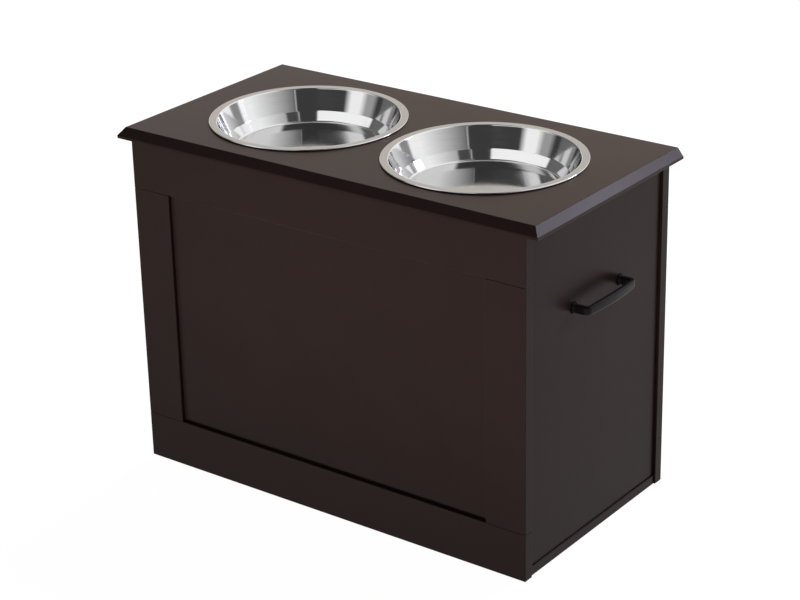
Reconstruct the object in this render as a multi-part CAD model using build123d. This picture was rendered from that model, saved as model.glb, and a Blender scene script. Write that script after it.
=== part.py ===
"""Raised feeder for a large dog: two steel bowls hang in a hinged lid over a storage cabinet.

Millimetres, +Z up. The origin is the middle of the cabinet's footprint on the floor, +X runs
along the cabinet, and the front looks towards -Y. Each piece is written to its own STEP file.

The cabinet is a flat-pack one: a front and a back frame, each of two rails, two stiles and a thin
panel held in grooves, are drawn against two end panels by cam fittings. The bottom board lies
between the frames and carries the end panels. The lid turns on two butt hinges whose barrels
stand just behind the back, and a black bow handle is screwed to each end panel.
"""
from build123d import *
from math import radians, tan
import os

# ---- Driving dimensions ---------------------------------------------------------------------

# Lid
lid_length = 600.0
lid_depth = 305.0
lid_thickness = 13.5
lid_bevel_drop = 10.0        # height of the sloping edge at the front and both sides
lid_bevel_run = 7.8          # how far that edge slopes in
lid_rear_round = 2.5         # radius along the top of the straight rear edge
lid_edge_round = 0.8         # small round on the lid's other edges
lid_side_overhang = 18.0
lid_front_overhang = 5.0     # the rear edge is flush with the cabinet's back
lid_gap = 0.3                # seam between the cabinet and the closed lid

# Cabinet
cabinet_height = 420.0
frame_board = 14.0           # thickness of rails and stiles
rail_height = 60.0
stile_width = 54.0
infill_thickness = 4.0       # thin panels in the front and back frames
infill_recess = 5.0          # how far they lie behind the frames' outer faces
groove_depth = 5.5
groove_clearance = 0.1
end_thickness = 12.0
end_recess = 3.5             # how far the end panels lie inside the frames' ends
bottom_thickness = 12.0
end_seat_gap = 0.5           # dark line between an end panel and the bottom board
bottom_end_inset = 2.0       # the bottom board's ends lie this far inside the frames' ends
edge_ease = 0.8              # small round on every board edge

# Bowls
bowl_rim_radius = 120.0
bowl_rim_width = 7.8         # flat ring of the rim
bowl_depth = 38.5            # from the rim's top down to the inside of the floor
bowl_wall_lean = 22.5        # degrees from upright
bowl_band_lean = 34.0        # lean of the band between the wall and the floor
bowl_band_height = 12.0
bowl_floor_bend = 4.0        # radius between floor and band
bowl_band_bend = 6.0         # radius between band and wall
bowl_mouth_bend = 2.5        # radius between wall and rim
bowl_sheet = 0.8
bowl_bead_radius = 1.1       # rolled bead under the rim's edge
bowl_seat_gap = 0.2          # bead to lid
bowl_hole_clearance = 1.5    # lid's hole round the mouth of the bowl
bowl_gap = 16.0              # between the two rims

# Hinges
hinge_end_inset = 112.0      # middle of a hinge from the cabinet's end
hinge_length = 50.0
hinge_leaf_margin = 2.0      # wood left in front of a leaf on the back rail
hinge_leaf_thickness = 1.2
hinge_barrel_radius = 3.0
hinge_pin_radius = 1.25
hinge_pin_bevel = 0.25
hinge_running_gap = 0.3      # barrel to the other leaf and to the boards
hinge_pin_clearance = 0.05
hinge_knuckle_gap = 0.15
hinge_screw_pitch = 17.0

# Handles
handle_foot_spacing = 97.0
handle_below_lid = 119.0     # middle of the handle below the cabinet's top edge
handle_reach = 22.0          # end panel to the outer face at the corners
handle_outer_bow = 2.4       # extra reach of the outer face at mid grip
handle_inner_bow = 1.5
handle_thickness = 5.5       # grip at the corners
handle_leg_width = 7.5
handle_end_height = 10.2
handle_belly = 0.9           # extra height at mid grip, above and below
handle_corner_radius = 7.0
handle_inner_radius = 3.0
handle_edge_round = 2.0
collar_margin = 1.2          # how far a collar stands out round its leg
collar_thickness = 2.5
collar_round = 1.0

# Screws: radii of shank, head and tip, lengths of head, point and whole, and the cross in the head
hinge_screw = dict(shank=1.4, head=2.6, head_height=1.1, length=10.0, point=3.0, tip=0.2,
                   cross=(3.0, 0.6, 0.7))
bottom_screw = dict(shank=2.5, head=4.6, head_height=3.0, length=40.0, point=5.0, tip=0.3,
                    cross=(5.0, 1.1, 1.8))
bottom_screw_recess = 0.5
bottom_screw_from_cam = 27.0
handle_screw_shank = 2.0
handle_screw_head = 4.0
handle_screw_head_height = 2.6
handle_screw_head_round = 0.8
handle_screw_grip = 10.0     # thread inside a handle's leg
handle_screw_cross = (4.0, 0.9, 1.2)
hole_clearance = 0.05        # round every screw, dowel and fitting
hole_extra = 0.5             # every blind hole runs this far past what it holds
overrun = 1.0                # a cutting shape runs this far past the face that it opens

# Dowels
dowel_radius = 3.0
dowel_length = 28.0
dowel_end_bevel = 0.6
stile_dowel_edge = 12.0      # dowel's axis from the stile's outer edge, and from its groove
bottom_dowel_bite = 10.0     # part of the dowel inside a bottom rail
bottom_dowel_inset = 102.0   # outer dowels from the cabinet's ends

# Cam fittings
cam_radius = 7.5
cam_floor = 2.5              # wood left behind a cam
cam_inset = 24.0             # cam's axis from the end panel's upright edge
cam_cross = (8.0, 1.2, 2.0)
bolt_thread_radius = 3.0
bolt_thread_length = 9.0
bolt_collar_radius = 3.3
bolt_collar_length = 1.0
bolt_shank_radius = 2.0
bolt_head_radius = 3.2
bolt_head_length = 3.0
bolt_bore_radius = 3.5
cam_bolt_clearance = 0.1     # round the bolt's head in its cam
cam_bore_extra = 2.0         # the bolt hole runs this far past the cam's axis

# ---- Places that follow from them -------------------------------------------------------------

cabinet_length = lid_length - 2 * lid_side_overhang
cabinet_depth = lid_depth - lid_front_overhang
half_length = cabinet_length / 2
half_depth = cabinet_depth / 2
inner_half_depth = half_depth - frame_board
stile_height = cabinet_height - 2 * rail_height
window_half_length = half_length - stile_width
end_face = half_length - end_recess
end_inner_face = end_face - end_thickness
end_middle = end_face - end_thickness / 2
end_bottom = bottom_thickness + end_seat_gap

lid_bottom = cabinet_height + lid_gap
lid_top = lid_bottom + lid_thickness
lid_middle_y = half_depth - lid_depth / 2
bowl_x = bowl_rim_radius + bowl_gap / 2
bowl_mouth_radius = bowl_rim_radius - bowl_rim_width
bowl_hole_radius = bowl_mouth_radius + bowl_hole_clearance
rim_top = lid_top + bowl_seat_gap + 2 * bowl_bead_radius

hinge_axis_y = half_depth + hinge_barrel_radius + hinge_running_gap
hinge_axis_z = cabinet_height + lid_gap / 2
hinge_x = half_length - hinge_end_inset
hinge_leaf_width = frame_board - hinge_leaf_margin
hinge_screw_y = half_depth - frame_board / 2
knuckle_length = hinge_length / 3

handle_z = cabinet_height - handle_below_lid
cam_heights = (rail_height / 2, cabinet_height / 2, cabinet_height - rail_height / 2)
cam_y = inner_half_depth - cam_inset
cam_height = end_thickness - cam_floor
bolt_length = cam_inset + bolt_head_length / 2
bottom_screw_y = cam_y - bottom_screw_from_cam
stile_dowel_insets = (stile_dowel_edge, stile_width - groove_depth - stile_dowel_edge)
bottom_dowel_x = half_length - bottom_dowel_inset


# ---- Helpers ----------------------------------------------------------------------------------

def block(x0, x1, y0, y1, z0, z1):
    """A plain box between two corners."""
    return Pos((x0 + x1) / 2, (y0 + y1) / 2, (z0 + z1) / 2) * Box(x1 - x0, y1 - y0, z1 - z0)


def board(x0, x1, y0, y1, z0, z1):
    """A box with every edge eased, as a painted board has."""
    plain = block(x0, x1, y0, y1, z0, z1)
    return fillet(plain.edges(), edge_ease)


def rod(radius, start, end):
    """A cylinder from one point to another."""
    base = Vector(*start)
    span = Vector(*end) - base
    plane = Plane(origin=base, z_dir=span.normalized())
    return plane * Pos(0, 0, span.length / 2) * Cylinder(radius, span.length)


def placed(shape, start, direction):
    """A shape drawn along +Z from the origin, moved to start and turned to point along direction."""
    return Plane(origin=Vector(*start), z_dir=Vector(*direction)) * shape


def cut(shape, tools):
    """The shape less every tool in the list."""
    for tool in tools:
        shape = shape - tool
    return shape


def cross_recess(size):
    """Cross that a screwdriver turns, cut down from z = 0: length, width and depth of its slots."""
    length, width, depth = size
    return Box(length, width, 2 * depth) + Box(width, length, 2 * depth)


def cone_head_screw(size):
    """Countersunk screw with a cross recess: the head's face at z = 0 and the point towards +Z."""
    head = Pos(0, 0, size["head_height"] / 2) * Cone(size["head"], size["shank"], size["head_height"])
    shank_end = size["length"] - size["point"]
    shank = rod(size["shank"], (0, 0, 0), (0, 0, shank_end))
    point = Pos(0, 0, shank_end + size["point"] / 2) * Cone(size["shank"], size["tip"], size["point"])
    return head + shank + point - cross_recess(size["cross"])


def cone_head_hole(size, recess=0.0):
    """The hole that such a screw sits in, with its clearance."""
    grown_head = size["head"] + hole_clearance
    grown_shank = size["shank"] + hole_clearance
    mouth = rod(grown_head, (0, 0, -recess - overrun), (0, 0, 0))
    seat = Pos(0, 0, size["head_height"] / 2) * Cone(grown_head, grown_shank, size["head_height"])
    shaft = rod(grown_shank, (0, 0, 0), (0, 0, size["length"] + hole_extra))
    return mouth + seat + shaft


def dowel():
    """A plain dowel centred on the origin along Z."""
    plain = Cylinder(dowel_radius, dowel_length)
    return chamfer(plain.edges().filter_by(GeomType.CIRCLE), dowel_end_bevel)


# ---- Where the fasteners are ---------------------------------------------------------------------

def stile_dowel_places():
    """Middle of each dowel between a stile and a rail, both frames."""
    places = []
    for side_y in (-1, 1):
        y = side_y * (half_depth - frame_board / 2)
        for side_x in (-1, 1):
            for inset in stile_dowel_insets:
                x = side_x * (half_length - inset)
                for z in (rail_height, cabinet_height - rail_height):
                    places.append((x, y, z))
    return places


def bottom_dowel_places():
    """End of each dowel inside a bottom rail, with the side it lies on."""
    places = []
    for side_y in (-1, 1):
        for x in (-bottom_dowel_x, 0.0, bottom_dowel_x):
            places.append((x, side_y, bottom_thickness / 2))
    return places


def cam_places():
    """End (-1 or 1), frame (-1 or 1) and height of each cam fitting."""
    return [(side_x, side_y, z) for side_x in (-1, 1) for side_y in (-1, 1) for z in cam_heights]


def bottom_screw_places():
    """Head centre of each screw that holds an end panel to the bottom board."""
    return [(side_x * end_middle, side_y * bottom_screw_y, bottom_screw_recess)
            for side_x in (-1, 1) for side_y in (-1, 1)]


def hinge_screw_xs():
    """X of every hinge screw, the same in the cabinet's leaves and the lid's."""
    return [side * hinge_x + step * hinge_screw_pitch for side in (-1, 1) for step in (-1, 0, 1)]


def handle_foot_ys():
    """Y of a handle's two feet."""
    return (-handle_foot_spacing / 2, handle_foot_spacing / 2)


# ---- Tools that cut the boards -----------------------------------------------------------------

def stile_dowel_holes():
    """Holes for the dowels between stiles and rails."""
    reach = dowel_length / 2 + hole_extra
    return [rod(dowel_radius + hole_clearance, (x, y, z - reach), (x, y, z + reach))
            for x, y, z in stile_dowel_places()]


def bottom_dowel_holes():
    """Holes for the dowels between the bottom board and the bottom rails."""
    holes = []
    for x, side_y, z in bottom_dowel_places():
        start = side_y * (inner_half_depth + bottom_dowel_bite + hole_extra)
        end = side_y * (inner_half_depth + bottom_dowel_bite - dowel_length - hole_extra)
        holes.append(rod(dowel_radius + hole_clearance, (x, start, z), (x, end, z)))
    return holes


def bolt_thread_holes():
    """Holes in the frames' inner faces for the threads of the cam bolts."""
    return [rod(bolt_thread_radius + hole_clearance,
                (side_x * end_middle, side_y * (inner_half_depth - overrun), z),
                (side_x * end_middle, side_y * (inner_half_depth + bolt_thread_length + hole_extra), z))
            for side_x, side_y, z in cam_places()]


def infill_slot(side_y):
    """The space of a thin panel and its groove clearance, in the front (-1) or back (1) frame."""
    outer = half_depth - infill_recess + groove_clearance
    inner = half_depth - infill_recess - infill_thickness - groove_clearance
    low, high = sorted((side_y * outer, side_y * inner))
    half = window_half_length + groove_depth
    base = rail_height - groove_depth
    return block(-half, half, low, high, base, cabinet_height - base)


# ---- Cabinet ---------------------------------------------------------------------------------------

def frame_pieces(side_y):
    """Rails, stiles and infill of the front (-1) or back (1) frame, by name."""
    low, high = sorted((side_y * half_depth, side_y * inner_half_depth))
    tools = [infill_slot(side_y)] + stile_dowel_holes() + bottom_dowel_holes() + bolt_thread_holes()
    tools = tools + hinge_body_seats()
    top_rail = board(-half_length, half_length, low, high, cabinet_height - rail_height, cabinet_height)
    bottom_rail = board(-half_length, half_length, low, high, 0, rail_height)
    left = board(-half_length, -window_half_length, low, high, rail_height, cabinet_height - rail_height)
    right = board(window_half_length, half_length, low, high, rail_height, cabinet_height - rail_height)
    half = window_half_length + groove_depth - groove_clearance
    base = rail_height - groove_depth + groove_clearance
    face = half_depth - infill_recess
    panel_low, panel_high = sorted((side_y * face, side_y * (face - infill_thickness)))
    panel = block(-half, half, panel_low, panel_high, base, cabinet_height - base)
    return {
        "top_rail": cut(top_rail, tools),
        "bottom_rail": cut(bottom_rail, tools),
        "left_stile": cut(left, tools),
        "right_stile": cut(right, tools),
        "panel": panel,
    }


def cam_hole(side_x, side_y, z):
    """Pocket for a cam in an end panel's inner face, and the bore that its bolt runs in."""
    inner = side_x * (end_inner_face - overrun)
    floor = side_x * (end_inner_face + cam_height + hole_clearance)
    y = side_y * cam_y
    pocket = rod(cam_radius + hole_clearance, (inner, y, z), (floor, y, z))
    bore = rod(bolt_bore_radius, (side_x * end_middle, side_y * (inner_half_depth + overrun), z),
               (side_x * end_middle, y, z))
    return pocket + bore


def end_panel(side_x):
    """Left (-1) or right (1) end panel."""
    low, high = sorted((side_x * end_face, side_x * end_inner_face))
    panel = board(low, high, -inner_half_depth, inner_half_depth, end_bottom, cabinet_height)
    tools = [cam_hole(*place) for place in cam_places() if place[0] == side_x]
    screw_hole = handle_screw_shank + hole_clearance
    for y in handle_foot_ys():
        tools.append(rod(screw_hole, (low - overrun, y, handle_z), (high + overrun, y, handle_z)))
    for place in bottom_screw_places():
        tools.append(placed(cone_head_hole(bottom_screw), place, (0, 0, 1)))
    return cut(panel, tools)


def bottom_board():
    """Board between the two frames, under the end panels."""
    end = half_length - bottom_end_inset
    panel = board(-end, end, -inner_half_depth, inner_half_depth, 0, bottom_thickness)
    tools = bottom_dowel_holes()
    for place in bottom_screw_places():
        tools.append(placed(cone_head_hole(bottom_screw, bottom_screw_recess), place, (0, 0, 1)))
    return cut(panel, tools)


# ---- Lid ---------------------------------------------------------------------------------------------

def lid_outline(inset, z):
    """Rectangle of the lid at height z, drawn in at the front and both sides."""
    length = lid_length - 2 * inset
    depth = lid_depth - inset
    return Pos(0, half_depth - depth / 2, z) * Rectangle(length, depth)


def lid_board():
    """Board with a bevelled front and sides, a straight rear edge and a round hole for each bowl."""
    bevel_start = lid_top - lid_bevel_drop
    slab = extrude(lid_outline(0, lid_bottom), bevel_start - lid_bottom)
    outlines = [lid_outline(0, bevel_start), lid_outline(lid_bevel_run, lid_top)]
    lid = slab + loft([outline.face() for outline in outlines], ruled=True)
    holes = [rod(bowl_hole_radius, (side * bowl_x, lid_middle_y, lid_bottom - overrun),
                 (side * bowl_x, lid_middle_y, lid_top + overrun)) for side in (-1, 1)]
    lid = cut(lid, holes)
    lid = fillet(lid.edges().filter_by(GeomType.CIRCLE), edge_ease)
    rear_top = lid.edges().filter_by(Axis.X).group_by(Axis.Z)[-1].sort_by(Axis.Y)[-1]
    lid = fillet(rear_top, lid_rear_round)
    rear = half_depth - lid_rear_round
    others = lid.edges().filter_by(GeomType.LINE).filter_by(lambda edge: edge.center().Y < rear)
    lid = fillet(others, lid_edge_round)
    return cut(lid, hinge_lid_seats())


# ---- Bowls -------------------------------------------------------------------------------------------

def bowl(side_x):
    """Pan of thin sheet with a flat rim and a rolled bead, turned about its own axis.

    Its leaning wall meets the floor in a band that leans further.
    """
    lean = radians(bowl_wall_lean)
    floor_z = rim_top - bowl_depth
    band_z = floor_z + bowl_band_height
    # Sharp corners of the inside line, before the bends round them.
    mouth_corner = bowl_mouth_radius - bowl_mouth_bend * tan((radians(90) - lean) / 2)
    band_corner = mouth_corner - (rim_top - band_z) * tan(lean)
    floor_corner = band_corner - bowl_band_height * tan(radians(bowl_band_lean))
    bead_x = bowl_rim_radius - bowl_bead_radius
    inside = FilletPolyline(
        (0, floor_z),
        (floor_corner, floor_z),
        (band_corner, band_z),
        (mouth_corner, rim_top),
        (bead_x, rim_top),
        radius=[bowl_floor_bend, bowl_band_bend, bowl_mouth_bend],
    )
    section = make_face(Wire(inside.edges()).offset_2d(bowl_sheet, side=Side.RIGHT, closed=True))
    bead = Pos(bead_x, rim_top - bowl_bead_radius) * Circle(bowl_bead_radius)
    section = section + bead
    turned = revolve(Plane.XZ * section, Axis.Z)
    return Pos(side_x * bowl_x, lid_middle_y, 0) * turned


# ---- Hinges ------------------------------------------------------------------------------------------

def hinge_leaf(side, on_lid):
    """One leaf with its knuckles, the cabinet's with the two outer and the lid's with the middle one."""
    centre = side * hinge_x
    x0 = centre - hinge_length / 2
    x1 = centre + hinge_length / 2
    if on_lid:
        z0 = lid_bottom
        z1 = lid_bottom + hinge_leaf_thickness
    else:
        z0 = cabinet_height - hinge_leaf_thickness
        z1 = cabinet_height
    plate = block(x0, x1, half_depth - hinge_leaf_width, hinge_axis_y, z0, z1)
    middle = (x0 + knuckle_length, x1 - knuckle_length)
    outer = [(x0, middle[0]), (middle[1], x1)]
    if on_lid:
        own, other = [middle], outer
    else:
        own, other = outer, [middle]
    for low, high in other:
        plate = plate - rod(hinge_barrel_radius + hinge_running_gap,
                            (low - hinge_knuckle_gap, hinge_axis_y, hinge_axis_z),
                            (high + hinge_knuckle_gap, hinge_axis_y, hinge_axis_z))
    for low, high in own:
        start = low if low == x0 else low + hinge_knuckle_gap
        end = high if high == x1 else high - hinge_knuckle_gap
        plate = plate + rod(hinge_barrel_radius, (start, hinge_axis_y, hinge_axis_z),
                            (end, hinge_axis_y, hinge_axis_z))
    plate = plate - rod(hinge_pin_radius + hinge_pin_clearance, (x0 - overrun, hinge_axis_y, hinge_axis_z),
                        (x1 + overrun, hinge_axis_y, hinge_axis_z))
    for step in (-1, 0, 1):
        place = (centre + step * hinge_screw_pitch, hinge_screw_y, z0 if on_lid else z1)
        plate = plate - placed(cone_head_hole(hinge_screw), place, (0, 0, 1 if on_lid else -1))
    return plate


def hinge_pin(side):
    """The pin, as long as the barrel, with eased ends."""
    x0 = side * hinge_x - hinge_length / 2
    x1 = side * hinge_x + hinge_length / 2
    pin = rod(hinge_pin_radius, (x0, hinge_axis_y, hinge_axis_z), (x1, hinge_axis_y, hinge_axis_z))
    return chamfer(pin.edges().filter_by(GeomType.CIRCLE), hinge_pin_bevel)


def hinge_seat_block(side, z0, z1):
    """Space of a leaf let into a board, with its clearance."""
    centre = side * hinge_x
    half = hinge_length / 2 + hole_clearance
    front = half_depth - hinge_leaf_width - hole_clearance
    return block(centre - half, centre + half, front, half_depth + overrun, z0, z1)


def hinge_body_seats():
    """Leaf seats and screw holes in the top edge of the back rail."""
    floor = cabinet_height - hinge_leaf_thickness - hole_clearance
    tools = [hinge_seat_block(side, floor, cabinet_height + overrun) for side in (-1, 1)]
    for x in hinge_screw_xs():
        tools.append(placed(cone_head_hole(hinge_screw), (x, hinge_screw_y, cabinet_height), (0, 0, -1)))
    return tools


def hinge_lid_seats():
    """Leaf seats and screw holes in the underside of the lid."""
    floor = lid_bottom + hinge_leaf_thickness + hole_clearance
    tools = [hinge_seat_block(side, lid_bottom - overrun, floor) for side in (-1, 1)]
    for x in hinge_screw_xs():
        tools.append(placed(cone_head_hole(hinge_screw), (x, hinge_screw_y, lid_bottom), (0, 0, 1)))
    return tools


# ---- Handles -----------------------------------------------------------------------------------------

def handle_side(reach, half_span, bow, corner):
    """Plan view of a bow: legs from the end panel, rounded corners and an outward arc, as a face."""
    front = ThreePointArc((reach, -half_span + corner), (reach + bow, 0), (reach, half_span - corner))
    upper = RadiusArc((reach, half_span - corner), (reach - corner, half_span), -corner)
    lower = RadiusArc((reach - corner, -half_span), (reach, -half_span + corner), -corner)
    return make_face([
        front,
        upper,
        Line((reach - corner, half_span), (0, half_span)),
        Line((0, half_span), (0, -half_span)),
        Line((0, -half_span), (reach - corner, -half_span)),
        lower,
    ])


def off_the_panel(shape):
    """Edges of a handle drawn at the origin, less those that lie on the end panel."""
    on_panel = shape.faces().sort_by(Axis.X)[0].center().X + hole_clearance
    return shape.edges().filter_by(lambda edge: edge.bounding_box().max.X > on_panel)


def handle(side_x):
    """Bow handle of the left (-1) or right (1) end, with a collar at each foot."""
    half_span = handle_foot_spacing / 2 + handle_leg_width / 2
    inner_span = handle_foot_spacing / 2 - handle_leg_width / 2
    outer = handle_side(handle_reach, half_span, handle_outer_bow, handle_corner_radius)
    inner = handle_side(handle_reach - handle_thickness, inner_span, handle_inner_bow, handle_inner_radius)
    low = handle_end_height / 2
    high = low + handle_belly
    plan = extrude(outer, high, both=True) - extrude(inner, high + overrun, both=True)
    top = ThreePointArc((-half_span, low), (0, high), (half_span, low))
    base = ThreePointArc((-half_span, -low), (0, -high), (half_span, -low))
    ends = [Line((half_span, low), (half_span, -low)), Line((-half_span, low), (-half_span, -low))]
    profile = make_face([top, base] + ends)
    depth = handle_reach + handle_outer_bow
    bow = plan & extrude(Plane.YZ * profile, depth + overrun)
    bow = fillet(off_the_panel(bow), handle_edge_round)
    half_width = handle_leg_width / 2 + collar_margin
    half_height = low + collar_margin
    for y in handle_foot_ys():
        collar = block(0, collar_thickness, y - half_width, y + half_width, -half_height, half_height)
        bow = bow + fillet(off_the_panel(collar), collar_round)
    screw_hole = handle_screw_shank + hole_clearance
    for y in handle_foot_ys():
        bow = bow - rod(screw_hole, (-overrun, y, 0), (handle_screw_grip + hole_extra, y, 0))
    turn = 0 if side_x > 0 else 180
    return Pos(side_x * end_face, 0, handle_z) * Rot(0, 0, turn) * bow


def handle_screws():
    """Pan-head screws from inside the cabinet through both end panels into the handles' legs."""
    screws = []
    reach = end_thickness + handle_screw_grip
    head = Pos(0, 0, -handle_screw_head_height / 2) * Cylinder(handle_screw_head, handle_screw_head_height)
    head = fillet(head.edges().filter_by(GeomType.CIRCLE).sort_by(Axis.Z)[0], handle_screw_head_round)
    cross = Pos(0, 0, -handle_screw_head_height) * cross_recess(handle_screw_cross)
    screw = head + rod(handle_screw_shank, (0, 0, 0), (0, 0, reach)) - cross
    for side_x in (-1, 1):
        for y in handle_foot_ys():
            screws.append(placed(screw, (side_x * end_inner_face, y, handle_z), (side_x, 0, 0)))
    return screws


# ---- Fittings ----------------------------------------------------------------------------------------

def cam_lock(side_x, side_y, z):
    """Round cam flush in the end panel, with the hole that swallows the bolt's head."""
    disc = rod(cam_radius, (0, 0, 0), (0, 0, cam_height))
    across = end_thickness / 2
    bore = rod(bolt_head_radius + cam_bolt_clearance, (0, -cam_bore_extra - bolt_head_length / 2, across),
               (0, cam_radius + overrun, across))
    cam = disc - bore - cross_recess(cam_cross)
    plane = Plane(origin=Vector(side_x * end_inner_face, side_y * cam_y, z),
                  x_dir=Vector(0, 0, -side_x * side_y), z_dir=Vector(side_x, 0, 0))
    return plane * cam


def cam_bolt(side_x, side_y, z):
    """Bolt screwed into a frame's inner face, its head in the cam."""
    head_start = bolt_length - bolt_head_length
    bolt = rod(bolt_thread_radius, (0, 0, -bolt_thread_length), (0, 0, 0))
    bolt = bolt + rod(bolt_collar_radius, (0, 0, 0), (0, 0, bolt_collar_length))
    bolt = bolt + rod(bolt_shank_radius, (0, 0, 0), (0, 0, bolt_length))
    bolt = bolt + rod(bolt_head_radius, (0, 0, head_start), (0, 0, bolt_length))
    return placed(bolt, (side_x * end_middle, side_y * inner_half_depth, z), (0, -side_y, 0))


# ---- The whole object ----------------------------------------------------------------------------------

def parts():
    """Every sub-part by its file name."""
    named = {}
    for side_y, prefix in ((-1, "front"), (1, "back")):
        for name, shape in frame_pieces(side_y).items():
            named[prefix + "_" + name] = shape
    for side_x, prefix in ((-1, "left"), (1, "right")):
        named[prefix + "_end_panel"] = end_panel(side_x)
        named[prefix + "_handle"] = handle(side_x)
        named["bowl_" + prefix] = bowl(side_x)
    named["bottom_board"] = bottom_board()
    named["lid_board"] = lid_board()
    named["hinge_body_leaves"] = [hinge_leaf(side, False) for side in (-1, 1)]
    named["hinge_lid_leaves"] = [hinge_leaf(side, True) for side in (-1, 1)]
    named["hinge_pins"] = [hinge_pin(side) for side in (-1, 1)]
    small = cone_head_screw(hinge_screw)
    named["hinge_body_screws"] = [placed(small, (x, hinge_screw_y, cabinet_height), (0, 0, -1))
                                  for x in hinge_screw_xs()]
    named["hinge_lid_screws"] = [placed(small, (x, hinge_screw_y, lid_bottom), (0, 0, 1))
                                 for x in hinge_screw_xs()]
    named["handle_screws"] = handle_screws()
    named["bottom_screws"] = [placed(cone_head_screw(bottom_screw), place, (0, 0, 1))
                              for place in bottom_screw_places()]
    named["stile_dowels"] = [Pos(*place) * dowel() for place in stile_dowel_places()]
    bottom_dowel_y = inner_half_depth + bottom_dowel_bite - dowel_length / 2
    named["bottom_dowels"] = [Pos(x, side_y * bottom_dowel_y, z) * Rot(90, 0, 0) * dowel()
                              for x, side_y, z in bottom_dowel_places()]
    named["cam_locks"] = [cam_lock(*place) for place in cam_places()]
    named["cam_bolts"] = [cam_bolt(*place) for place in cam_places()]
    return named


os.makedirs("parts", exist_ok=True)
for node, shape in parts().items():
    if isinstance(shape, list):
        shape = Compound(children=[solid for piece in shape for solid in piece.solids()])
    export_step(shape, "parts/" + node + ".step")
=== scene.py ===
"""Dressed model of a raised dog feeder with storage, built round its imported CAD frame.

The file is laid out as an add-on: property groups hold the sizes and colours, one operator makes each
group of pieces, and a panel in the 3D view's sidebar lists them. All lengths are metres, +Z is up, and
the front of the feeder looks towards -Y.
"""

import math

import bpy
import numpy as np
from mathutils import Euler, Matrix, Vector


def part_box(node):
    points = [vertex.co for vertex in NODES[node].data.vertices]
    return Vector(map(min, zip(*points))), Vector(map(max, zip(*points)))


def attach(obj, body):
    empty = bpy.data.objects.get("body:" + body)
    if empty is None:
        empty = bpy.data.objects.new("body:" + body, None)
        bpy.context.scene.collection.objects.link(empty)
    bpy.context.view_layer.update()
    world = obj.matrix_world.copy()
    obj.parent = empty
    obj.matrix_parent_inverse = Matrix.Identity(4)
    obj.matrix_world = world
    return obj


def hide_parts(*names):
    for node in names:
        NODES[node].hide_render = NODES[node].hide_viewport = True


bl_info = {
    "name": "Raised dog feeder",
    "version": (1, 0, 0),
    "blender": (4, 5, 0),
    "location": "View3D > Sidebar > Feeder",
    "description": "Dresses the packed model of a raised dog feeder and sets up its studio",
    "category": "Object",
}

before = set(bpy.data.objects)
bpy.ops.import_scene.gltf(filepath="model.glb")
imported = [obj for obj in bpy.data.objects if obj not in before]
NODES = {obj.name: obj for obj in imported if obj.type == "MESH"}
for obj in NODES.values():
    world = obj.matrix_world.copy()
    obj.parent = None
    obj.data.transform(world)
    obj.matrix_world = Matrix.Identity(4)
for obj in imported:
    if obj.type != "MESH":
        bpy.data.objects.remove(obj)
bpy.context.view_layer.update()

BOARDS = [
    side + "_" + piece
    for side in ("front", "back")
    for piece in ("top_rail", "bottom_rail", "left_stile", "right_stile", "panel")
] + ["left_end_panel", "right_end_panel", "bottom_board"]
SIDES = {"left": -1, "right": 1}
WHITE = (1.0, 1.0, 1.0, 1.0)

BEND_STEPS = 16         # points along a bend of a bowl's section or of a handle
RUN_STEPS = 12          # points along a straight run of a bowl's section
BEAD_STEPS = 26         # points round the bead of a bowl
BEAD_END = -1.05 * math.pi      # angle at which the bead's roll ends, a little past its inner side
BOWL_COLUMNS = 320      # steps round a bowl
GRIP_STEPS = 61         # points along a handle's grip
HANDLE_COLUMNS = 48     # steps round a handle's section
COLLAR_STEPS = 7        # points along the round edge of a handle's collar
COLLAR_ROUND = 0.45     # radius of that edge, as a share of the collar's thickness
COLLAR_POWER = 6.0      # how square a collar is, as the power of a superellipse
BAR_POWER = 4.0         # the same for the legs and the grip
LEG_RINGS = (0.00001, 0.0004, 0.002, 0.005)     # distances past the collar at which a leg has a ring
LEG_FOOT = 0.0004       # how far the first of them is widened


# ---- Shapes -------------------------------------------------------------------------------------------

def rounded_line(corners, radii, arc_steps, run_steps):
    """Points of a line through corners with a round at each inner one.

    A round of radius R at a corner where the line turns by T starts R * tan(T / 2) before it, and its
    centre lies R to the side that the line turns to.
    """
    corners = np.asarray(corners, float)
    pieces = []
    last = corners[0]
    for before, corner, after, radius in zip(corners[:-2], corners[1:-1], corners[2:], radii):
        into = (corner - before) / np.linalg.norm(corner - before)
        out = (after - corner) / np.linalg.norm(after - corner)
        turn = math.atan2(into[0] * out[1] - into[1] * out[0], into @ out)
        start = corner - into * radius * math.tan(abs(turn) / 2)
        side = math.copysign(1.0, turn)
        centre = start + side * radius * np.array([-into[1], into[0]])
        pieces.append(last + np.linspace(0, 1, run_steps, endpoint=False)[:, None] * (start - last))
        angles = np.linspace(0, turn, arc_steps)
        spoke = start - centre
        arc = np.stack([
            spoke[0] * np.cos(angles) - spoke[1] * np.sin(angles),
            spoke[0] * np.sin(angles) + spoke[1] * np.cos(angles),
        ], axis=1)
        pieces.append(centre + arc[:-1])
        last = centre + arc[-1]
    pieces.append(last + np.linspace(0, 1, run_steps)[:, None] * (corners[-1] - last))
    return np.concatenate(pieces)


def arc_length(points):
    """Length along a line up to each of its points: the running sum of the steps between them."""
    steps = np.linalg.norm(np.diff(points, axis=0), axis=1)
    return np.concatenate([[0.0], np.cumsum(steps)])


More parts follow.
